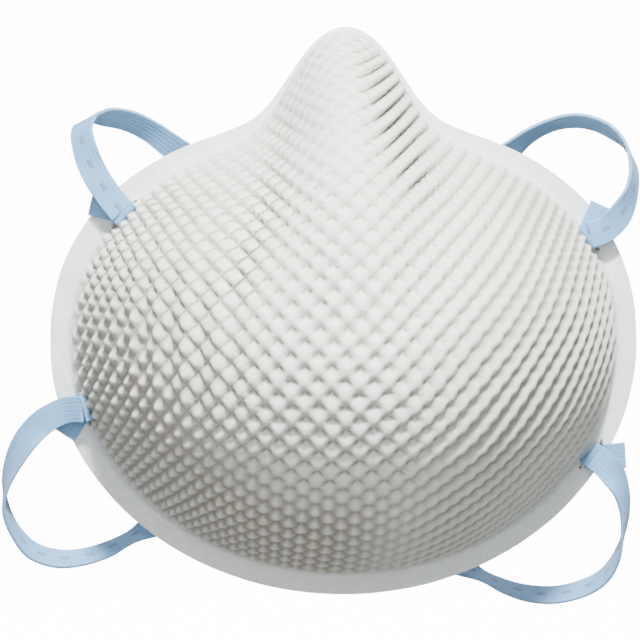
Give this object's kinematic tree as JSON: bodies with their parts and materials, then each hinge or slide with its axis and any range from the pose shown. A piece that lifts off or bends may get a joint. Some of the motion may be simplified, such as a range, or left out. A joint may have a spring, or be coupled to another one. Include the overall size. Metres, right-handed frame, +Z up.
{
  "type": "disposable dust mask",
  "caption": "Moulded cup dust mask with diamond netting, a welded rim flange and flat elastic head straps stapled at the rim.",
  "frame": {"origin": "middle of the face seal, level with the widest part of the rim", "axes": "+X across the face, towards the wearer's left; +Y towards the face; +Z up, towards the nose peak"},
  "size_m": [0.1544, 0.0933, 0.1409],
  "materials": {
    "netting": "moulded plastic netting, matte",
    "web": "nonwoven web",
    "filter": "felted filter media",
    "lining": "smooth nonwoven lining",
    "elastic": "flat knitted elastic",
    "wire": "dark bronze coated wire"
  },
  "bodies": {
    "mask": {"outer_mesh_shell": "netting", "outer_cover_web": "web", "filter_media": "filter", "inner_lining": "lining", "upper_left_stapled_end": "elastic", "upper_right_stapled_end": "elastic", "lower_left_stapled_end": "elastic", "lower_right_stapled_end": "elastic", "upper_strap_left_loop": "elastic", "upper_strap_right_loop": "elastic", "lower_strap_left_loop": "elastic", "lower_strap_right_loop": "elastic", "staple_upper_left": "wire", "staple_upper_right": "wire", "staple_lower_left": "wire", "staple_lower_right": "wire"},
    "upper_strap": {"upper_strap_back_band": "elastic"},
    "lower_strap": {"lower_strap_back_band": "elastic"}
  },
  "joints": [
    {"name": "upper_strap_swing", "type": "hinge", "parent": "mask", "child": "upper_strap", "pos_m": [0, 0.012, 0.046], "axis": [1, 0, 0], "range_deg": [-35, 40], "stiffness_Nm_per_rad": 0.01},
    {"name": "lower_strap_swing", "type": "hinge", "parent": "mask", "child": "lower_strap", "pos_m": [-0.046, 0.012, -0.0455], "axis": [0.9896, 0, -0.1441], "range_deg": [-40, 35], "stiffness_Nm_per_rad": 0.01}
  ]
}
